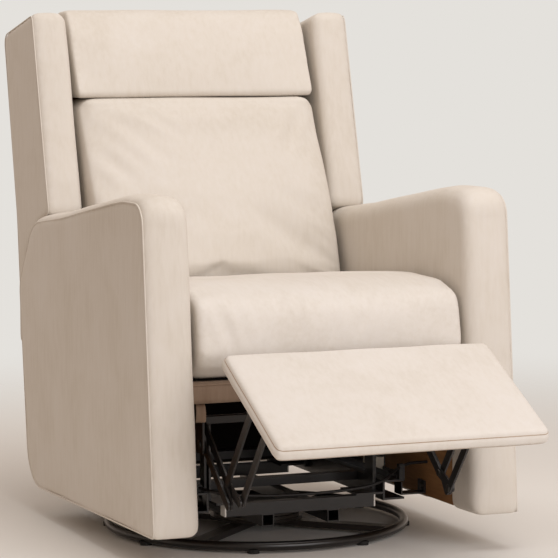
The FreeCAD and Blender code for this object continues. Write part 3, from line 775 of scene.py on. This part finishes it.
def grown(ring: np.ndarray, axis: int, by: float) -> np.ndarray:
    """Moves a flat ring outwards in its own plane.

    Args:
        ring: the closed outline.
        axis: the axis that the plane is square to.
        by: how far, in metres.

    Returns:
        The larger ring.
    """
    one, two = [k for k in range(3) if k != axis]
    ahead = np.roll(ring, -1, 0) - np.roll(ring, 1, 0)
    out = np.zeros_like(ring)
    out[:, one] = ahead[:, two]
    out[:, two] = -ahead[:, one]
    out /= np.linalg.norm(out, axis=1, keepdims=True).clip(1e-9)
    middle = ring.mean(0)
    if np.einsum("ij,ij->i", ring - middle, out).mean() < 0:
        out = -out
    return ring + out * by


def snapped(path: np.ndarray, piece: bpy.types.Object, sink: float) -> np.ndarray:
    """Lays a line on a cover.

    Args:
        path: the line's points, near the cover.
        piece: the cover.
        sink: how far under the cover's surface the line lies.

    Returns:
        The points on the cover.
    """
    tree = BVHTree.FromPolygons(
        [v.co[:] for v in piece.data.vertices], [tuple(f.vertices) for f in piece.data.polygons]
    )
    laid = []
    for point in path:
        where, normal, _, _ = tree.find_nearest(Vector(point))
        laid.append(where - normal * sink)
    return np.array(laid)


def stitched(
    name: str,
    piece: bpy.types.Object,
    path: np.ndarray,
    finish: bpy.types.Material,
    closed: bool,
    depth: float = 1.4 * MM,
    width: float = 4.0 * MM,
    thread: float = 0.9 * MM,
) -> bpy.types.Object:
    """Draws a cover in along a seam and lays the seam's rolled edge in the groove.

    Args:
        name: the seam's name.
        piece: the cover.
        path: the seam's line, near the cover.
        finish: the seam's material.
        closed: whether the seam is a ring.
        depth: how far the cover is drawn in.
        width: the half width of the groove.
        thread: the radius of the rolled edge.

    Returns:
        The seam as a piece.
    """
    laid = snapped(evened(path, SEAM_STEP, closed), piece, 0.0)
    near = kdtree.KDTree(len(laid))
    for number, point in enumerate(laid):
        near.insert(point, number)
    near.balance()
    points = points_of(piece.data)
    away = np.array([near.find(point)[2] for point in points])
    drawn = depth * np.exp(-((away / width) ** 2))
    set_points(piece.data, points - normals_of(piece.data) * drawn[:, None])
    laid = snapped(laid, piece, SEAM_SUNK * thread)
    return tube(name, laid, thread, finish, closed, 8)


@dataclass(frozen=True)
class Wrinkle:
    """A soft fold on a cover, from one point to another, in metres."""

    start: tuple[float, float, float]
    end: tuple[float, float, float]
    width: float
    depth: float

    def lift(self, points: np.ndarray) -> np.ndarray:
        """How far each point moves out along its normal.

        Args:
            points: the cover's points.

        Returns:
            One length for each point, below zero in the fold.
        """
        a, b = np.array(self.start), np.array(self.end)
        run = b - a
        share = ((points - a) @ run / (run @ run)).clip(0, 1)
        away = np.linalg.norm(points - a - share[:, None] * run, axis=1)
        fade = np.sin(math.pi * (0.08 + 0.84 * share))
        near = away / self.width
        # the cloth dips along the fold's line and swells beside it
        swell = 0.6 * np.exp(-(((near - 1.5) / 0.8) ** 2))
        return self.depth * fade * (swell - np.exp(-(near**2)))


def uneven(points: np.ndarray, size: float, amount: float, seed: float) -> np.ndarray:
    """Slow hand-made unevenness of stuffed cloth.

    Args:
        points: the cover's points.
        size: the width of its swells, in metres.
        amount: the largest swell, in metres.
        seed: which pattern of swells.

    Returns:
        One length for each point.
    """
    shift = Vector((seed, 2.3 * seed, 4.1 * seed))
    return np.array([amount * noise.noise(Vector(p) / size + shift) for p in points])


def dressed(piece: bpy.types.Object, points: np.ndarray, lift: np.ndarray) -> None:
    """Lifts a cover's points along their normals and makes its mesh finer.

    Args:
        piece: the cover.
        points: its points.
        lift: how far each of them goes.
    """
    set_points(piece.data, points + normals_of(piece.data) * lift[:, None])
    subdivided(piece)


def hung(
    name: str, rows: list[list[tuple[float, float, float]]], thickness: float, finish: bpy.types.Material
) -> bpy.types.Object:
    """Makes a thin cloth from rows of points.

    Args:
        name: the piece's name.
        rows: rows of equal length, each a line across the cloth.
        thickness: the cloth's thickness.
        finish: its material.

    Returns:
        The cloth as a piece.
    """
    wide = len(rows[0])
    faces = [
        (a, a + 1, a + wide + 1, a + wide)
        for i in range(len(rows) - 1)
        for a in range(i * wide, (i + 1) * wide - 1)
    ]
    mesh = bpy.data.meshes.new(name)
    mesh.from_pydata([point for row in rows for point in row], [], faces)
    cloth = link(name, mesh, finish)
    thick = cloth.modifiers.new("thick", "SOLIDIFY")
    thick.thickness = thickness
    thick.offset = 0.0
    baked(cloth)
    return cloth


def settle(piece: bpy.types.Object, body: str, nodes: tuple[str, ...], fill: float | None = None) -> None:
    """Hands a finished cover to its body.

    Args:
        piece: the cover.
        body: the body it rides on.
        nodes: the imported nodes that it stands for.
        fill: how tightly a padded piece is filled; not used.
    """
    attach(piece, body)
    if nodes:
        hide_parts(*nodes)
    LOG.info("%s rides on %s", piece.name, body)


# Upholstery


@dataclass
class SideBoards:
    """Two padded boards, one at each side, with a band over front and top and a rolled outer edge."""

    rack: FinishRack
    part: str
    body: str
    outer: float
    width: float
    fade_from: float
    fade_over: float
    lean: float
    bulge: float
    swells: tuple[float, float, float]
    fill: float
    edge: str
    edge_radius: float
    edge_sunk: float
    voxel: float = 6 * MM
    outer_round: float = 7 * MM

    def push(self, normals: np.ndarray, fade: np.ndarray) -> np.ndarray:
        """How far the middle of the band swells where a face has these normals."""
        raise NotImplementedError

    def crowned(self, points: np.ndarray, normals: np.ndarray) -> np.ndarray:
        """Swells the band over the front and top between the outer and the inner edge.

        Args:
            points: the cover's points.
            normals: their normals.

        Returns:
            The swollen points.
        """
        across = ((self.outer - np.abs(points[:, 0])) / self.width).clip(0, 1)
        fade = ((points[:, 2] - self.fade_from) / self.fade_over).clip(0, 1)
        way = normals * np.array([0.0, 1.0, 1.0])
        way /= np.linalg.norm(way, axis=1, keepdims=True).clip(0.2)
        shape = np.sin(math.pi * across**self.lean) ** self.bulge
        return points + way * (shape * self.push(normals, fade))[:, None]

    def build(self, frame: dict) -> None:
        """Builds both boards and their rolled edges.
        """
        velvet = self.rack.of(self.rack.velvet)
        size, amount, seed = self.swells
        for name, side in ((f"right_{self.part}", 1), (f"left_{self.part}", -1)):
            node = frame["nodes"][name]
            piece, points = cover_of(f"{name}_cover", node, self.voxel, velvet)
            points = relaxed(piece.data, self.crowned(points, normals_of(piece.data)), 1)
            set_points(piece.data, points)
            dressed(piece, points, uneven(points, size, amount, seed + side))
            settle(piece, self.body, (name,), self.fill)

            reach = self.outer_round * math.sqrt(0.5) - self.edge_sunk
            ring = rim_of(node, 0, side * self.outer)[0]
            ring = grown(evened(ring, EDGE_STEP, True), 0, reach)
            ring[:, 0] = side * (self.outer - self.outer_round + reach)
            edge = tube(f"{name}_{self.edge}", ring, self.edge_radius, velvet, True)
            settle(edge, self.body, ())


@dataclass
class Arms(SideBoards):
    """The two upholstered arms: foam over a plywood box, one band over the front and top, welted outside."""

    part: str = "arm"
    body: str = "carriage"
    outer: float = 380 * MM
    width: float = 97 * MM
    fade_from: float = 78 * MM
    fade_over: float = 70 * MM
    lean: float = 0.85
    bulge: float = 0.75
    swells: tuple[float, float, float] = (0.16, 1.5 * MM, 3.0)
    fill: float = 0.9
    edge: str = "welt"
    edge_radius: float = 1.7 * MM
    edge_sunk: float = 0.3 * MM
    top_crown: float = 13 * MM
    front_crown: float = 6 * MM

    def push(self, normals: np.ndarray, fade: np.ndarray) -> np.ndarray:
        """How far the band swells: more on the top than on the front, which fades out at the toe."""
        top = normals[:, 2].clip(0, 1) * self.top_crown
        return top + (-normals[:, 1]).clip(0, 1) * self.front_crown * fade


@dataclass
class Wings(SideBoards):
    """The two wings beside the back, each a tall padded board with a seam down its outer front edge."""

    part: str = "wing"
    body: str = "back"
    outer: float = 360 * MM
    width: float = 79 * MM
    fade_from: float = 640 * MM
    fade_over: float = 60 * MM
    lean: float = 1.0
    bulge: float = 0.7
    swells: tuple[float, float, float] = (0.14, 1.4 * MM, 11.0)
    fill: float = 0.85
    edge: str = "seam"
    edge_radius: float = 1.3 * MM
    edge_sunk: float = 0.5 * MM
    crown: float = 6 * MM

    def push(self, normals: np.ndarray, fade: np.ndarray) -> np.ndarray:
        """How far the band swells: alike on the front and top, and not at all behind the arm."""
        return self.crown * np.maximum(-normals[:, 1], normals[:, 2]).clip(0, 1) * fade


@dataclass
class SeatCushion:
    """The loose-looking seat cushion: a crowned foam block whose front hangs over the rail."""

    rack: FinishRack
    voxel: float = 7 * MM
    shrink: float = 0.5 * MM
    sewn: float = 13 * MM
    tucked: float = 6 * MM
    proud: float = 8 * MM
    pressure: float = 2.5
    cap: float = 7 * MM
    body: str = "seat"
    wrinkles: tuple[Wrinkle, ...] = (
        Wrinkle((-0.10, -0.375, 0.515), (-0.13, -0.415, 0.42), 0.012, 4.2 * MM),
        Wrinkle((-0.06, -0.37, 0.517), (-0.075, -0.415, 0.44), 0.010, 3.5 * MM),
        Wrinkle((0.02, -0.37, 0.517), (-0.005, -0.415, 0.43), 0.011, 3.2 * MM),
        Wrinkle((0.09, -0.37, 0.517), (0.05, -0.415, 0.44), 0.012, 3.5 * MM),
        Wrinkle((0.15, -0.375, 0.515), (0.12, -0.415, 0.43), 0.010, 2.9 * MM),
        Wrinkle((-0.235, -0.39, 0.500), (-0.20, -0.415, 0.41), 0.013, 2.6 * MM),
        Wrinkle((0.205, -0.375, 0.512), (0.175, -0.412, 0.43), 0.012, 2.4 * MM),
        Wrinkle((-0.20, -0.37, 0.512), (-0.18, -0.41, 0.43), 0.012, 2.9 * MM),
    )

    def build(self, frame: dict) -> None:
        """Builds the seat cushion.
        """
        low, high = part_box("seat_cushion")
        finish = self.rack.of(self.rack.velvet_flat)
        piece, points = cover_of("seat_cushion_cover", frame["nodes"]["seat_cushion"], self.voxel, finish)
        normals = normals_of(piece.data)
        # the underside, the rear edge and the sewn sides stay where they are
        rests = (normals[:, 2] < -0.6) | (points[:, 1] > high.y - self.tucked)
        rests |= np.abs(points[:, 0]) > high.x - self.sewn
        set_points(piece.data, points - normals * np.where(rests, 0, self.shrink)[:, None])
        points = filled(piece, rests, self.pressure, self.cap)
        points[:, 0] = points[:, 0].clip(low.x - self.proud, high.x + self.proud)
        set_points(piece.data, points)
        lift = uneven(points, 0.11, 2.2 * MM, 5.0)
        for wrinkle in self.wrinkles:
            lift += wrinkle.lift(points)
        dressed(piece, points, lift)
        settle(piece, self.body, ("seat_cushion",), 0.7)


@dataclass
class BackCushions:
    """The back cushion and the head cushion over it, tucked into one seam between them."""

    rack: FinishRack
    voxel: float = 7 * MM
    shrink: float = 2 * MM
    sewn: float = 7 * MM
    tucked: float = 12 * MM
    proud: float = 6 * MM
    pressure: float = 3.5
    cap: float = 13 * MM
    body: str = "back"
    wrinkles: tuple[Wrinkle, ...] = (
        Wrinkle((-0.235, 0.30, 0.86), (-0.10, 0.26, 0.78), 0.016, 3.8 * MM),
        Wrinkle((-0.21, 0.29, 0.83), (-0.09, 0.25, 0.74), 0.014, 2.9 * MM),
        Wrinkle((-0.15, 0.30, 0.865), (-0.06, 0.26, 0.80), 0.014, 2.9 * MM),
        Wrinkle((-0.245, 0.27, 0.77), (-0.17, 0.24, 0.69), 0.016, 2.9 * MM),
        Wrinkle((-0.25, 0.25, 0.70), (-0.19, 0.22, 0.62), 0.016, 2.4 * MM),
        Wrinkle((-0.10, 0.30, 0.868), (-0.02, 0.27, 0.82), 0.013, 2.2 * MM),
        Wrinkle((0.25, 0.24, 0.66), (0.19, 0.21, 0.58), 0.016, 2.4 * MM),
        Wrinkle((0.235, 0.30, 0.855), (0.17, 0.26, 0.76), 0.016, 2.9 * MM),
    )

    def build(self, frame: dict) -> None:
        """Builds both cushions.
        """
        for node, fill, seed in (("back_cushion", 0.65, 7.0), ("head_cushion", 0.75, 9.0)):
            low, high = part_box(node)
            finish = self.rack.of(self.rack.velvet)
            piece, points = cover_of(f"{node}_cover", frame["nodes"][node], self.voxel, finish, 3)
            normals = normals_of(piece.data)
            # what lies against the back, the seam between the cushions and the sewn sides stay
            up = points[:, 2]
            seam = up > high.z - self.tucked if node == "back_cushion" else up < low.z + self.tucked
            rests = (normals[:, 1] > 0.3) | seam | (np.abs(points[:, 0]) > high.x - self.sewn)
            set_points(piece.data, points - normals * np.where(rests, 0, self.shrink)[:, None])
            points = filled(piece, rests, self.pressure, self.cap)
            points[:, 0] = points[:, 0].clip(low.x - self.proud, high.x + self.proud)
            set_points(piece.data, points)
            lift = uneven(points, 0.13, 2.0 * MM, seed)
            if node == "back_cushion":
                for wrinkle in self.wrinkles:
                    lift += wrinkle.lift(points)
            dressed(piece, points, lift)
            settle(piece, self.body, (node,), fill)


@dataclass
class Panels:
    """The covered boards that close the chair: front rail, outer back and rear kick panel."""

    rack: FinishRack
    voxel: float = 5 * MM
    welt: float = 2.2 * MM
    rail_welt_z: float = 348 * MM
    rail_front_y: float = -370 * MM
    rail_half: float = 280 * MM
    deck: tuple[float, float, float, float] = (271 * MM, -362 * MM, 190 * MM, 356.6 * MM)
    deck_sag: float = 0.5 * MM
    deck_swell: float = 50 * MM
    tab: tuple[float, float, float] = (-252 * MM, -352 * MM, 311 * MM)
    tab_size: tuple[float, float] = (18 * MM, 36 * MM)

    def build(self, frame: dict) -> None:
        """Builds the three covered boards and the rail's welt.
        """
        rows = (
            ("seat_front_rail", "seat", 2.0),
            ("back_outer_panel", "back", 4.0),
            ("rear_kick_panel", "carriage", 6.0),
        )
        for node, body, seed in rows:
            # the front rail takes the darker velvet: nap laid the other way, plus painted shade under the
            # cushion
            finish = self.rack.against_nap_and_shade if node == "seat_front_rail" else self.rack.velvet
            piece, points = cover_of(f"{node}_cover", frame["nodes"][node], self.voxel, self.rack.of(finish))
            dressed(piece, points, uneven(points, 0.15, 1.2 * MM, seed))
            if node != "seat_front_rail":
                self.lined_in_painted_shade(piece)
            settle(piece, body, (node,), 0.9)
        self.add_deck()
        self.add_tab()
        across = np.linspace(-self.rail_half, self.rail_half, 60)
        front = np.full_like(across, self.rail_front_y + 0.2 * MM)
        line = np.stack([across, front, self.rail_welt_z + 0.8 * MM * np.sin(across * 21)], 1)
        # the welt takes the same darker velvet, partly painted shade under the cushion
        settle(tube("front_rail_welt", line, self.welt, self.rack.of(self.rack.against_nap_and_shade)), "seat", ())

    def lined_in_painted_shade(self, piece: bpy.types.Object) -> None:
        """Gives the side of a panel that faces into the chair its black dust cloth, which also paints the
        shade inside the chair.
        """
        piece.data.materials.append(self.rack.of(self.rack.cambric_and_shade))
        for face in piece.data.polygons:
            if face.normal.y < -0.7:
                face.material_index = 1

    def add_deck(self) -> None:
        """Adds the black dust cloth that lies over the seat springs under the cushion; its black also stands
        as painted shade under the seat.
        """
        half, front, rear, z = self.deck
        rows = [
            [
                (x, y, z + self.deck_sag * noise.noise(Vector((x, y, 0.0)) / self.deck_swell))
                for x in np.linspace(-half, half, 37).tolist()
            ]
            for y in np.linspace(front, rear, 41).tolist()
        ]
        cloth = hung("deck_cloth", rows, 0.5 * MM, self.rack.of(self.rack.cambric_and_shade))
        settle(cloth, "seat", ())

    def add_tab(self) -> None:
        """Adds the loose end of cloth that hangs behind the rail beside the left arm."""
        x, y, z = self.tab
        wide, long = self.tab_size
        # it widens as it hangs, curls across and bows a little
        rows = []
        for down in np.linspace(0, 1, 10).tolist():
            row = []
            for share in np.linspace(-0.5, 0.5, 6).tolist():
                across = x + wide * share * (1 + 0.12 * down)
                curl = 1.6 * MM * math.cos(5 * share + 2 * down) - 5 * MM * math.sin(2.6 * down)
                row.append((across, y + curl, z - long * down))
            rows.append(row)
        # the hanging end takes the darker velvet, partly painted shade behind the rail
        cloth = hung("rail_cloth_end", rows, 0.8 * MM, self.rack.of(self.rack.against_nap_and_shade))
        settle(cloth, "seat", ())


@dataclass
class Footrest:
    """The footrest pad: a crowned top panel sewn to a boxing strip round its edge."""

    rack: FinishRack
    voxel: float = 5 * MM
    grow: float = 2.5 * MM
    sewn: float = 12 * MM
    pressure: float = 2.5
    cap: float = 6 * MM
    edge: tuple[float, float] = (-520 * MM, 425 * MM)
    slope: float = math.radians(26.9)
    length: float = 305 * MM
    half: float = 270 * MM
    corner: float = 15 * MM
    seams: tuple[tuple[str, float], ...] = (("top", -6 * MM), ("lower", -27 * MM))
    body: str = "footrest"

    def at(self, x: float, along: float, up: float) -> tuple[float, float, float]:
        """A point from its place on the board: across, down the slope, and out of the top face."""
        y = self.edge[0] - along * math.cos(self.slope) - up * math.sin(self.slope)
        z = self.edge[1] - along * math.sin(self.slope) + up * math.cos(self.slope)
        return (x, y, z)

    def build(self, frame: dict) -> None:
        """Builds the pad and its seams.
        """
        finish = self.rack.of(self.rack.velvet_flat)
        piece, points = cover_of("footrest_pad_cover", frame["nodes"]["footrest_pad"], self.voxel, finish)
        out = np.array([0, -math.sin(self.slope), math.cos(self.slope)])
        normals = normals_of(piece.data)
        rests = normals @ out < -0.5
        down = np.array([0, -math.cos(self.slope), -math.sin(self.slope)])
        along = (points - np.array(self.at(0, 0, 0))) @ down
        sewn = np.abs(points[:, 0]) > self.half - self.sewn
        sewn |= (along < self.sewn) | (along > self.length - self.sewn)
        set_points(piece.data, points + normals * np.where(rests, 0, self.grow)[:, None])
        points = filled(piece, rests | sewn, self.pressure, self.cap)
        set_points(piece.data, points)
        dressed(piece, points, uneven(points, 0.12, 1.2 * MM, 8.0))
        for name, height in self.seams:
            line = self.ring(height)
            # the rolled edge takes the darker seam velvet, which paints the groove's shade
            seam = stitched(f"footrest_{name}_seam", piece, line, self.rack.of(self.rack.seam), True)
            settle(seam, self.body, ())
        settle(piece, self.body, ("footrest_pad",), 0.8)

    def ring(self, up: float) -> np.ndarray:
        """The closed line round the pad's edge at a height over its top face, below zero under it."""
        corners = (
            (self.half - self.corner, self.length - self.corner, 0),
            (-self.half + self.corner, self.length - self.corner, 90),
            (-self.half + self.corner, self.corner, 180),
            (self.half - self.corner, self.corner, 270),
        )
        path = []
        for x, along, start in corners:
            for turn in range(start, start + 91, 15):
                angle = math.radians(turn)
                run = along + self.corner * math.sin(angle)
                path.append(self.at(x + self.corner * math.cos(angle), run, up))
        return np.array(path)


# Camera, light and floor


@dataclass
class Studio:
    """The pale floor, soft lamps and the camera that took the photograph."""

    camera_at: tuple[float, float, float] = (-2.06072, -5.25139, 1.02594)
    yaw: float = math.radians(-21.9163)
    pitch: float = math.radians(5.2248)
    roll: float = math.radians(-0.1604)
    lens: float = 178.55
    floor_radius: float = 6.0
    floor_fade: tuple[float, float] = (0.9, 3.2)
    backdrop: str = "#E4E1DC"
    room: str = "#F6DFCD"
    room_light: float = 0.46

    def build(self) -> None:
        """Sets camera, lamps, world and floor."""
        self.add_camera()
        self.add_lamps()
        self.add_floor()
        view = bpy.context.scene.view_settings
        view.view_transform = "Standard"

    def add_camera(self) -> None:
        """Adds the camera at the photograph's place."""
        data = bpy.data.cameras.new("camera")
        data.lens = self.lens
        data.sensor_width = 36.0
        data.clip_end = 100.0
        camera = bpy.data.objects.new("camera", data)
        bpy.context.scene.collection.objects.link(camera)
        turn = Matrix.Rotation(self.yaw, 4, "Z") @ Matrix.Rotation(math.pi / 2 - self.pitch, 4, "X")
        turn = turn @ Matrix.Rotation(self.roll, 4, "Z")
        camera.matrix_world = Matrix.Translation(self.camera_at) @ turn
        bpy.context.scene.camera = camera

    def add_lamps(self) -> None:
        """Adds three large soft lamps and the pale world."""
        lamps = (
            ("key_lamp", (0.6, -4.0, 1.9), (0.0, -0.1, 0.45), 3.0, 95.0, "#FCFCFF"),
            ("top_lamp", (0.2, -0.6, 3.4), (0.0, -0.1, 0.4), 2.4, 46.0, "#FFFFFF"),
            ("rear_lamp", (-1.2, 3.2, 2.4), (0.0, 0.2, 0.6), 2.0, 26.0, "#FFFFFF"),
        )
        for name, where, aim, size, power, colour in lamps:
            data = bpy.data.lights.new(name, "AREA")
            data.size = size
            data.energy = power
            data.color = linear(colour)[:3]
            lamp = bpy.data.objects.new(name, data)
            bpy.context.scene.collection.objects.link(lamp)
            way = Vector(aim) - Vector(where)
            lamp.matrix_world = Matrix.Translation(where) @ way.to_track_quat("-Z", "Y").to_matrix().to_4x4()
        world = bpy.data.worlds.new("studio")
        world.use_nodes = True
        tree = world.node_tree
        tree.nodes.clear()
        rays = add(tree, "ShaderNodeLightPath")
        seen = add(
            tree,
            "ShaderNodeMath",
            {},
            {0: rays.outputs["Is Camera Ray"], 1: rays.outputs["Is Transmission Ray"]},
            operation="MAXIMUM",
        )
        room = add(tree, "ShaderNodeBackground", {"Color": linear(self.room), "Strength": self.room_light})
        wall = add(tree, "ShaderNodeBackground", {"Color": linear(self.backdrop), "Strength": 1.0})
        ends = {0: seen.outputs[0], 1: room.outputs[0], 2: wall.outputs[0]}
        both = add(tree, "ShaderNodeMixShader", {}, ends)
        add(tree, "ShaderNodeOutputWorld", {}, {0: both.outputs[0]})
        bpy.context.scene.world = world

    def add_floor(self) -> None:
        """Adds the round floor, which fades into the backdrop far from the chair."""
        work = bmesh.new()
        bmesh.ops.create_circle(work, cap_ends=True, radius=self.floor_radius, segments=96)
        mesh = bpy.data.meshes.new("floor")
        work.to_mesh(mesh)
        work.free()
        material, tree, out = new_material("pale_floor")
        near, far = self.floor_fade
        away = add(tree, "ShaderNodeVectorMath", {}, {0: placed(tree)}, operation="LENGTH")
        fade = add(
            tree,
            "ShaderNodeMapRange",
            {"From Min": near, "From Max": far},
            {"Value": away.outputs["Value"]},
            interpolation_type="SMOOTHSTEP",
        )
        matt = add(tree, "ShaderNodeBsdfDiffuse", {"Color": linear(self.backdrop)})
        clear = add(tree, "ShaderNodeBsdfTransparent")
        ends = {0: fade.outputs[0], 1: matt.outputs[0], 2: clear.outputs[0]}
        both = add(tree, "ShaderNodeMixShader", {}, ends)
        tree.links.new(both.outputs[0], out.inputs[0])
        floor = link("floor", mesh, material)


def main() -> None:
    """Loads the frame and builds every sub-assembly."""
    logging.basicConfig(level=logging.INFO, format="%(name)s: %(message)s")
    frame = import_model()
    rack = FinishRack()
    rack.dress_steelwork(frame)
    Studio().build()
    for sub_assembly in (Arms, Wings, SeatCushion, BackCushions, Panels, Footrest):
        sub_assembly(rack).build(frame)


if __name__ == "__main__":
    main()
